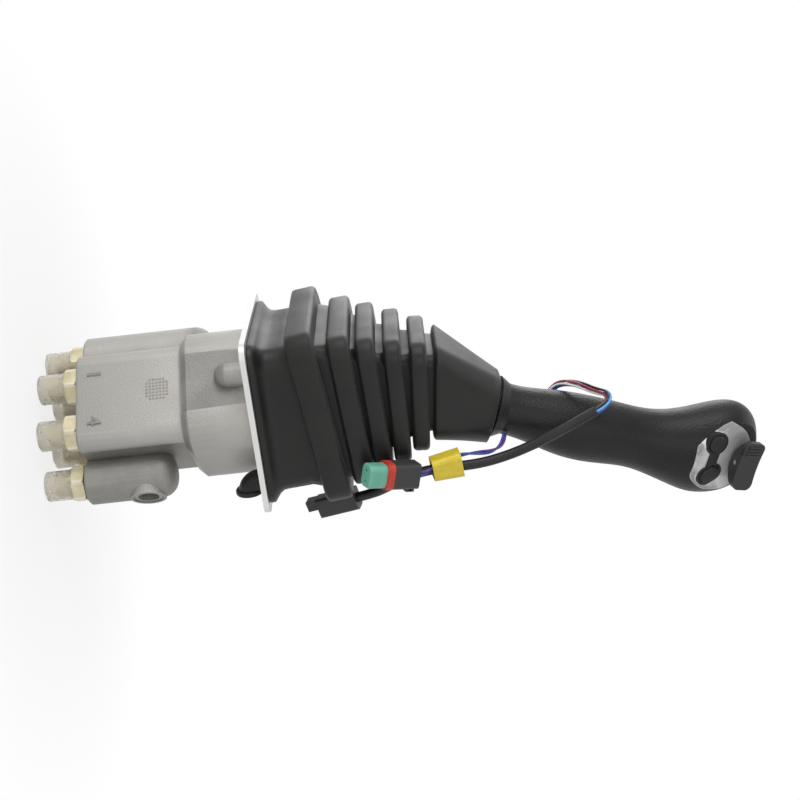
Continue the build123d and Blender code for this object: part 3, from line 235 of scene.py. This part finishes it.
NODE_FINISH = {
    "cast": ["port_block", "casing"],
    "zinc": ["mounting_plate"],
    "steel": ["block_bolts", "plate_screws", "joint_base", "joint_cross", "joint_yoke", "swash_disc",
              "disc_nut", "lever_lock_nut", "lever_stem", "grip_insert", "rocker_pin"],
    "fitting": ["port_fittings"],
    "cap": ["dust_caps"],
    "seal": ["port_seals", "chamber_seal_rings", "plug_seal_rings", "rod_wipers"],
    "rubber": ["cable_spout", "boot"],
    "brass": ["rod_guide_plugs"],
    "grip": ["grip"],
    "key": ["button_bezel", "upper_button", "lower_button"],
    "rocker": ["thumb_rocker", "rocker_bracket", "microswitches"],
    "silver": ["switch_panel"],
    "board": ["switch_board"],
    "sleeve": ["harness_sleeve"],
    "blue": ["signal_pair", "wire_bundle"],
    "tape": ["label_tape"],
    "plug": ["connector_a_housing", "connector_b"],
    "red": ["connector_a_seal"],
    "green": ["connector_a_wedge"],
}


def dress_nodes():
    """Give every carried-over node its finish."""
    finishes = {node: key for key, names in NODE_FINISH.items() for node in names}
    for name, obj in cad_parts.items():
        key = finishes.get(name)
        if key is None:
            key = "spring" if "spring_" in name and "seat" not in name else "steel"
        obj.data.materials.clear()
        obj.data.materials.append(MATERIALS[key])


# ---------------------------------------------------------------- mesh helpers
def link_mesh(name, verts, faces, materials, crease_deg=38.0):
    """New smooth mesh object from millimetre points."""
    mesh = bpy.data.meshes.new(name)
    mesh.from_pydata([tuple(c * MM for c in v) for v in verts], [], faces)
    mesh.validate()
    for mat in materials:
        mesh.materials.append(mat)
    for polygon in mesh.polygons:
        polygon.use_smooth = True
    mesh.set_sharp_from_angle(angle=math.radians(crease_deg))
    obj = bpy.data.objects.new(name, mesh)
    bpy.context.scene.collection.objects.link(obj)
    return obj


def rounded_square(half, corner, corner_steps=9, side_steps=5):
    """Points round a square with rounded corners, anticlockwise from the middle of +X."""
    points = []
    corner = min(corner, half - 0.5)
    flat = half - corner
    for quarter in range(4):
        turn = quarter * math.pi / 2
        local = []
        for step in range(side_steps):
            local.append((half, flat * step / side_steps))
        for step in range(corner_steps + 1):
            angle = math.pi / 2 * step / corner_steps
            local.append((flat + corner * math.cos(angle), flat + corner * math.sin(angle)))
        for step in range(1, side_steps):
            local.append((flat * (1 - step / side_steps), half))
        for x, y in local:
            points.append((x * math.cos(turn) - y * math.sin(turn), x * math.sin(turn) + y * math.cos(turn)))
    return points


def ring_of(station):
    """One loop of the boot: station is (x, z, tilt in degrees, half side, corner radius)."""
    x, z, tilt, half, corner = station
    turn = math.radians(tilt)
    return [
        (x + px * math.cos(turn), py, z - px * math.sin(turn))
        for px, py in rounded_square(half, corner)
    ]


def loft_rings(rings):
    """Faces joining equal loops in order."""
    count = len(rings[0])
    verts = [point for ring in rings for point in ring]
    faces = []
    for level in range(len(rings) - 1):
        for i in range(count):
            j = (i + 1) % count
            low, high = level * count, (level + 1) * count
            faces.append((low + i, low + j, high + j, high + i))
    return verts, faces


# ---------------------------------------------------------------- boot
RIBS = [                 # centre x, centre z, side, thickness, tilt in degrees
    (-1.4, 36.6, 100.0, 14.6, -7.0),
    (-1.4, 54.0, 88.0, 12.0, -4.0),
    (-1.2, 66.9, 80.0, 10.4, -2.4),
    (-0.8, 79.6, 72.5, 9.8, 0.4),
    (-0.3, 92.0, 64.5, 9.6, 3.5),
]
VALLEYS = [84.0, 80.0, 68.0, 57.0, 50.0, 46.0]
RIB_CORNER = 11.0
RIB_EDGE = 2.4           # radius of a rib's edges
EDGE_STEPS = 4           # spans round that radius
RIB_FLANK = 2.5          # flat left on a rib's side above its edge radius
CONE_LOW = (0.4, 100.2, 6.0, 28.0)   # x, z, tilt and half side of the cone's wide end
CONE_END_S = 56.5
CONE_HIGH_TILT = 17.3
CONE_HIGH_HALF = 20.0
CONE_HIGH_CORNER = 15.0
CONE_STEPS = 9
CONE_WAIST = 0.36        # how far the cone's sides pull in halfway up
NECK_R = 15.3
SEAM_RIB = 3             # the boot is split in the valley above this rib


def on_axis(x, z, tilt, along):
    """Point moved along a tilted axis."""
    turn = math.radians(tilt)
    return x + along * math.sin(turn), z + along * math.cos(turn)


def valley_corner(rib_half, half):
    """Corner radius of a loop that lies inside a rib's outline."""
    return max(5.0, RIB_CORNER - 0.55 * (rib_half - half))


def rib_stations(rib, below, above):
    """Loops over one rib, from the valley under it to the valley over it."""
    centre_x, z, side, thick, tilt = rib
    half = side / 2
    reach = thick / 2
    profile = [(-reach + 0.2, below / 2)]
    profile.append((-reach, half - RIB_EDGE - RIB_FLANK))
    for step in range(EDGE_STEPS + 1):
        angle = math.pi / 2 * step / EDGE_STEPS
        profile.append((-reach + RIB_EDGE * (1 - math.cos(angle)), half - RIB_EDGE * (1 - math.sin(angle))))
    for step in range(EDGE_STEPS + 1):
        angle = math.pi / 2 * step / EDGE_STEPS
        profile.append((reach - RIB_EDGE * (1 - math.sin(angle)), half - RIB_EDGE * (1 - math.cos(angle))))
    profile.append((reach, half - RIB_EDGE - RIB_FLANK))
    profile.append((reach - 0.2, above / 2))
    stations = []
    for along, reach_out in profile:
        x, height = on_axis(centre_x, z, tilt, along)
        stations.append((x, height, tilt, reach_out, valley_corner(half, reach_out)))
    return stations


def handle_point(p, y, s):
    """Point of the bent lever's frame in the part's frame."""
    return (
        p * math.cos(BEND) + s * math.sin(BEND),
        y,
        BEND_Z + s * math.cos(BEND) - p * math.sin(BEND),
    )


def boot_stations():
    """All loops of the boot, and the index of the loop where it is split."""
    base = PLATE_TOP
    stations = [
        (0, base, 0, 46.4, RIB_CORNER),
        (0, base + 0.5, 0, 47.0, RIB_CORNER),
        (0, base + 2.6, 0, 47.0, RIB_CORNER),
        (0, base + 3.5, 0, 46.5, RIB_CORNER),
        (0, base + 4.4, 0, 45.4, RIB_CORNER),
        (0, base + 6.2, 0, 43.4, RIB_CORNER),
        (0, base + 8.2, 0, 42.3, RIB_CORNER),
        (0, base + 10.5, 0, 42.0, RIB_CORNER),
        (-0.4, base + 17.0, -1.5, 41.9, RIB_CORNER),
        (-0.9, base + 22.0, -4.0, 41.9, RIB_CORNER),
    ]
    split = None
    for number, rib in enumerate(RIBS):
        stations += rib_stations(rib, VALLEYS[number], VALLEYS[number + 1])
        if number + 1 == SEAM_RIB:
            x, z, side, thick, tilt = rib
            next_x, next_z, _, next_thick, next_tilt = RIBS[number + 1]
            middle = (z + thick / 2 + next_z - next_thick / 2) / 2
            half = VALLEYS[number + 1] / 2
            stations.append((
                (x + next_x) / 2, middle, (tilt + next_tilt) / 2, half, valley_corner(side / 2, half)))
            split = len(stations) - 1
    x, z, tilt, half = CONE_LOW
    foot_x, foot_z = on_axis(x, z, tilt, -0.6)
    stations.append((foot_x, foot_z, tilt, VALLEYS[-1] / 2, 7.0))
    for along, shrink in ((-0.4, 3.5), (-0.1, 1.6), (0.5, 0.5), (1.6, 0.0)):
        place = on_axis(x, z, tilt, along)
        stations.append((*place, tilt, half - shrink, RIB_CORNER))
    end = handle_point(0, 0, CONE_END_S)
    for step in range(1, CONE_STEPS + 1):
        f = step / CONE_STEPS
        start = on_axis(x, z, tilt, 1.6)
        waist = CONE_WAIST * math.sin(math.pi * f)
        stations.append((
            start[0] + (end[0] - start[0]) * f,
            start[1] + (end[2] - start[1]) * f,
            tilt + (CONE_HIGH_TILT - tilt) * f,
            half + (CONE_HIGH_HALF - half) * f - waist,
            RIB_CORNER + (CONE_HIGH_CORNER - RIB_CORNER) * f,
        ))
    for along, half_end in ((0.6, 19.5), (0.8, 18.6), (0.6, NECK_R + 1.0), (-0.6, NECK_R), (-3.0, NECK_R)):
        px, pz = on_axis(end[0], end[2], CONE_HIGH_TILT, along)
        stations.append((px, pz, CONE_HIGH_TILT, half_end, half_end - 0.4))
    return stations, split


def make_boot():
    """Boot in two lofted parts, split in the valley above the seam rib."""
    stations, split = boot_stations()
    parts = (("boot_lower", stations[: split + 1]), ("boot_upper", stations[split:]))
    for name, own in parts:
        verts, faces = loft_rings([ring_of(station) for station in own])
        obj = link_mesh(name, verts, faces, [MATERIALS["rubber"]], 50.0)
        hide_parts("boot")
        if name == "boot_lower":
            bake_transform(obj)
        else:
            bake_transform(obj)


# ---------------------------------------------------------------- harness
SLEEVE_ROUTE = [
    (18.0, -26.6, 189.0), (26.0, -28.6, 170.5), (32.6, -29.0, 154.5), (37.4, -30.6, 138.0),
    (39.4, -33.4, 121.0), (38.6, -35.0, 102.0), (39.4, -35.0, 90.0), (43.0, -32.6, 78.5),
    (49.6, -28.2, 69.5), (55.0, -24.4, 60.0), (57.4, -22.4, 50.4),
]
BUNDLE_ROUTE = [
    (24.0, 14.9, 165.5), (19.2, 17.0, 170.6), (15.0, 12.4, 175.6), (12.2, 3.6, 180.6),
    (11.0, -5.0, 185.6), (11.5, -12.9, 191.4), (11.5, -18.85, 197.6), (15.0, -25.85, 195.9375),
    (18.0, -26.6, 189.0),
]
PAIR_ROUTE = [
    (31.97, -11.91, 138.11), (36.2, -17.25, 136.6), (37.4, -23.6, 129.7), (34.8, -28.6, 121.1),
    (32.6, -33.0, 111.5), (33.2, -36.4, 101.5), (38.6, -40.4, 91.4), (36.5, -43.66, 85.1),
]
SLEEVE_R = 2.9
WIRE_R = 0.72


def route_curve(name, route, radius_mm):
    """NURBS curve through a cord's route."""
    data = bpy.data.curves.new(name, "CURVE")
    data.dimensions = "3D"
    data.resolution_u = 16
    spline = data.splines.new("NURBS")
    spline.points.add(len(route) - 1)
    for point, place in zip(spline.points, route):
        point.co = (*[c * MM for c in place], 1.0)
    spline.order_u = 3
    spline.use_endpoint_u = True
    data.bevel_depth = radius_mm * MM
    data.bevel_resolution = 6
    data.use_fill_caps = True
    obj = bpy.data.objects.new(name, data)
    bpy.context.scene.collection.objects.link(obj)
    return obj


def centreline(route):
    """Points along the route's NURBS spline, in millimetres."""
    obj = route_curve("route_probe", route, 0)
    mesh = bpy.data.meshes.new_from_object(obj)
    points = [v.co / MM for v in mesh.vertices]
    bpy.data.objects.remove(obj)
    return points


def transported_frames(points):
    """Two axes across the line at each point, carried along without twist."""
    tangents = []
    for i in range(len(points)):
        before = points[max(i - 1, 0)]
        after = points[min(i + 1, len(points) - 1)]
        tangents.append((after - before).normalized())
    side = tangents[0].orthogonal().normalized()
    frames = []
    for tangent in tangents:
        side = (side - tangent * side.dot(tangent)).normalized()
        frames.append((side.copy(), tangent.cross(side)))
    return frames


def strand_tubes(points, strands, turns, radius, sides=10):
    """Tubes following the line; strands are (offset, angle in degrees, material index, bow)."""
    frames = transported_frames(points)
    verts, faces, slots = [], [], []
    last = len(points) - 1
    for offset, degrees, slot, bow in strands:
        line = []
        for i, (point, (side, up)) in enumerate(zip(points, frames)):
            f = i / last
            angle = math.radians(degrees) + 2 * math.pi * turns * f
            out = offset + bow * math.sin(math.pi * f) ** 2
            line.append(point + side * math.cos(angle) * out + up * math.sin(angle) * out)
        first = len(verts)
        own = transported_frames(line)
        for point, (side, up) in zip(line, own):
            for k in range(sides):
                a = 2 * math.pi * k / sides
                verts.append(point + side * math.cos(a) * radius + up * math.sin(a) * radius)
        for i in range(last):
            for k in range(sides):
                n = (k + 1) % sides
                faces.append((first + i * sides + k, first + i * sides + n,
                              first + (i + 1) * sides + n, first + (i + 1) * sides + k))
                slots.append(slot)
        for ring, flip in ((0, True), (last, False)):
            loop = [first + ring * sides + k for k in range(sides)]
            faces.append(tuple(reversed(loop)) if flip else tuple(loop))
            slots.append(slot)
    return verts, faces, slots


def path_length(points):
    """Length along millimetre points, in metres."""
    return sum((b - a).length for a, b in zip(points[:-1], points[1:])) * MM


def make_strands(name, node, route, colours, strands, turns):
    """Wires of one cord, riding on the lever in place of its CAD node."""
    points = centreline(route)
    verts, faces, slots = strand_tubes(points, strands, turns, WIRE_R)
    obj = link_mesh(name, verts, faces, [MATERIALS[c] for c in colours], 60.0)
    for polygon, slot in zip(obj.data.polygons, slots):
        polygon.material_index = slot
    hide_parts(node)
    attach(obj, "lever")
    return obj, points


def make_harness():
    """Sleeve, wire bundle and signal pair."""
    sleeve = route_curve("sleeve", SLEEVE_ROUTE, SLEEVE_R)
    sleeve.data.materials.append(MATERIALS["sleeve"])
    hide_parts("harness_sleeve")
    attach(sleeve, "lever")
    path_length(centreline(SLEEVE_ROUTE))
    colours = ["black", "maroon", "white", "blue", "sky"]
    strands = [(1.4, 72 * i + 20, i, 0.2 * (i % 3)) for i in range(5)]
    bundle, points = make_strands("bundle", "wire_bundle", BUNDLE_ROUTE, colours, strands, 0.35)
    strands = [(WIRE_R, 0, 0, 0.0), (WIRE_R, 180, 1, 0.0)]
    pair, points = make_strands("pair", "signal_pair", PAIR_ROUTE, ["blue", "violet"], strands, 1.5)


# ---------------------------------------------------------------- raised port numbers
NUMERAL_FACE = 28.5              # the block's front face, out from the valve axis
NUMERAL_U = 14.1
NUMERAL_Z = -91.0
NUMERAL_SIZE = 10.5


ACROSS = Vector((1, -1, 0)).normalized()
OUT = Vector((-1, -1, 0)).normalized()
DOT_PATCH = (-1.3, -52.4, 7.0)   # across, z and radius of the raised dots on the block's front


def make_dot_patch():
    """Round patch of small raised dots cast on the block's front face."""
    u, z, radius = DOT_PATCH
    pitch, sides = 1.9, 8
    profile = ((0.75, -0.1), (0.7, 0.1), (0.4, 0.4))   # radius and height of each dot's loops
    steps = int(radius / pitch)
    verts, faces = [], []
    for i in range(-steps, steps + 1):
        for j in range(-steps, steps + 1):
            if math.hypot(i, j) * pitch > radius:
                continue
            first = len(verts)
            centre = ACROSS * (u + i * pitch) + Vector((0, 0, z + j * pitch))
            for reach, out in profile:
                for k in range(sides):
                    a = 2 * math.pi * k / sides
                    ring = ACROSS * math.cos(a) * reach + Vector((0, 0, math.sin(a) * reach))
                    verts.append(centre + ring + OUT * (NUMERAL_FACE + out))
            for level in range(2):
                for k in range(sides):
                    n = (k + 1) % sides
                    low, high = first + level * sides, first + (level + 1) * sides
                    faces.append((low + k, low + n, high + n, high + k))
            faces.append(tuple(first + 2 * sides + k for k in range(sides)))
            faces.append(tuple(first + k for k in reversed(range(sides))))
    obj = link_mesh("dot_patch", verts, faces, [MATERIALS["cast"]], 30.0)
    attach(obj, "valve")


def make_numerals():
    """Plain raised numbers of the two front ports."""
    for text, u in (("1", -NUMERAL_U), ("4", NUMERAL_U)):
        data = bpy.data.curves.new("numeral_" + text, "FONT")
        data.body = text
        data.size = NUMERAL_SIZE * MM
        data.extrude = 0.5 * MM
        data.offset = 0.12 * MM
        data.bevel_depth = 0.12 * MM
        data.align_x = "CENTER"
        obj = bpy.data.objects.new("numeral_" + text, data)
        place = (ACROSS * u + OUT * (NUMERAL_FACE + 0.2) + Vector((0, 0, NUMERAL_Z))) * MM
        obj.matrix_world = Matrix.Translation(place) @ Matrix(
            (ACROSS, Vector((0, 0, 1)), OUT)).transposed().to_4x4()
        bpy.context.scene.collection.objects.link(obj)
        data.materials.append(MATERIALS["cast"])
        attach(obj, "valve")


# ---------------------------------------------------------------- stage, light and camera
FLOOR_GAP = 0.0008
FLOOR_REACH = 6.0
WORLD_LIGHT = 0.32


def make_stage():
    """Pale floor that keeps the shadow and turns to plain white away from the object."""
    floor_z = cad_box[0][2] - FLOOR_GAP
    mesh = bpy.data.meshes.new("floor")
    corners = [(x * FLOOR_REACH, y * FLOOR_REACH, floor_z) for x, y in ((-1, -1), (1, -1), (1, 1), (-1, 1))]
    mesh.from_pydata(corners, [], [(0, 1, 2, 3)])
    floor = bpy.data.objects.new("floor", mesh)
    bpy.context.scene.collection.objects.link(floor)
    mat = bpy.data.materials.new("floor_paint")
    mat.use_nodes = True
    tree = mat.node_tree
    shader = tree.nodes["Principled BSDF"]
    shader.inputs["Base Color"].default_value = (0.86, 0.86, 0.86, 1)
    shader.inputs["Roughness"].default_value = 0.9
    shader.inputs["Specular IOR Level"].default_value = 0.1
    light = tree.nodes.new("ShaderNodeEmission")
    light.inputs["Color"].default_value = (1, 1, 1, 1)
    light.inputs["Strength"].default_value = 1.0
    blend = tree.nodes.new("ShaderNodeMixShader")
    path = tree.nodes.new("ShaderNodeLightPath")
    seen = tree.nodes.new("ShaderNodeMath")
    seen.operation = "MAXIMUM"
    tree.links.new(path.outputs["Is Camera Ray"], seen.inputs[0])
    tree.links.new(path.outputs["Is Glossy Ray"], seen.inputs[1])
    position = tree.nodes.new("ShaderNodeNewGeometry").outputs["Position"]
    away = tree.nodes.new("ShaderNodeVectorMath")
    away.operation = "LENGTH"
    tree.links.new(position, away.inputs[0])
    share = tree.nodes.new("ShaderNodeMath")
    share.operation = "MULTIPLY"
    tree.links.new(seen.outputs[0], share.inputs[0])
    tree.links.new(remap(tree, away.outputs["Value"], 0.8, 1.0, 0.12, 0.26), share.inputs[1])
    tree.links.new(share.outputs[0], blend.inputs[0])
    tree.links.new(shader.outputs[0], blend.inputs[1])
    tree.links.new(light.outputs[0], blend.inputs[2])
    tree.links.new(blend.outputs[0], tree.nodes["Material Output"].inputs["Surface"])
    mesh.materials.append(mat)


def make_world():
    """Even light, seen as plain white by the camera and in reflections."""
    world = bpy.data.worlds.new("studio")
    bpy.context.scene.world = world
    world.use_nodes = True
    tree = world.node_tree
    backdrop = tree.nodes["Background"]
    backdrop.inputs["Color"].default_value = (1, 1, 1, 1)
    backdrop.inputs["Strength"].default_value = WORLD_LIGHT
    white = tree.nodes.new("ShaderNodeBackground")
    white.inputs["Color"].default_value = (1, 1, 1, 1)
    white.inputs["Strength"].default_value = 1.0
    path = tree.nodes.new("ShaderNodeLightPath")
    either = tree.nodes.new("ShaderNodeMath")
    either.operation = "MAXIMUM"
    tree.links.new(path.outputs["Is Camera Ray"], either.inputs[0])
    tree.links.new(path.outputs["Is Transmission Ray"], either.inputs[1])
    both = tree.nodes.new("ShaderNodeMath")
    both.operation = "MAXIMUM"
    tree.links.new(either.outputs[0], both.inputs[0])
    tree.links.new(path.outputs["Is Glossy Ray"], both.inputs[1])
    blend = tree.nodes.new("ShaderNodeMixShader")
    tree.links.new(both.outputs[0], blend.inputs[0])
    tree.links.new(backdrop.outputs[0], blend.inputs[1])
    tree.links.new(white.outputs[0], blend.inputs[2])
    tree.links.new(blend.outputs[0], tree.nodes["World Output"].inputs["Surface"])


def make_light(name, place, size, power):
    """Square lamp that faces the middle of the object."""
    data = bpy.data.lights.new(name, "AREA")
    data.shape = "SQUARE"
    data.size = size
    data.energy = power
    obj = bpy.data.objects.new(name, data)
    obj.location = place
    aim = Vector((0.02, 0, 0.08)) - Vector(place)
    obj.rotation_euler = aim.to_track_quat("-Z", "Y").to_euler()
    bpy.context.scene.collection.objects.link(obj)


LIGHTS = [               # name, place, side and power
    ("key", (-1.25, -0.2, 0.25), 0.7, 7),
    ("front", (-0.5, -1.4, 0.35), 0.8, 3),
    ("fill", (0.9, -1.1, 0.5), 1.2, 1.6),
    ("back", (-0.5, 1.3, 0.3), 0.9, 6),
    ("top", (-0.2, 0.1, 1.6), 0.9, 3),
]


def make_lights():
    for light in LIGHTS:
        make_light(*light)


def make_camera():
    """Camera turned on its side, so that the lever's axis runs across the frame."""
    right = Vector((0.10735257, -0.02517088, 0.99390234))
    up = Vector((-0.91750536, 0.38255566, 0.10878918))
    back = right.cross(up)
    data = bpy.data.cameras.new("camera")
    data.lens = 58.5
    data.sensor_width = 36.0
    obj = bpy.data.objects.new("camera", data)
    place = Vector((-0.276765, -0.690611, 0.094019))
    obj.matrix_world = Matrix.Translation(place) @ Matrix((right, up, back)).transposed().to_4x4()
    bpy.context.scene.collection.objects.link(obj)
    bpy.context.scene.camera = obj
    bpy.context.scene.view_settings.view_transform = "Standard"


make_camera()
make_harness()
dress_nodes()
make_boot()
make_numerals()
make_dot_patch()
make_stage()
make_world()
make_lights()
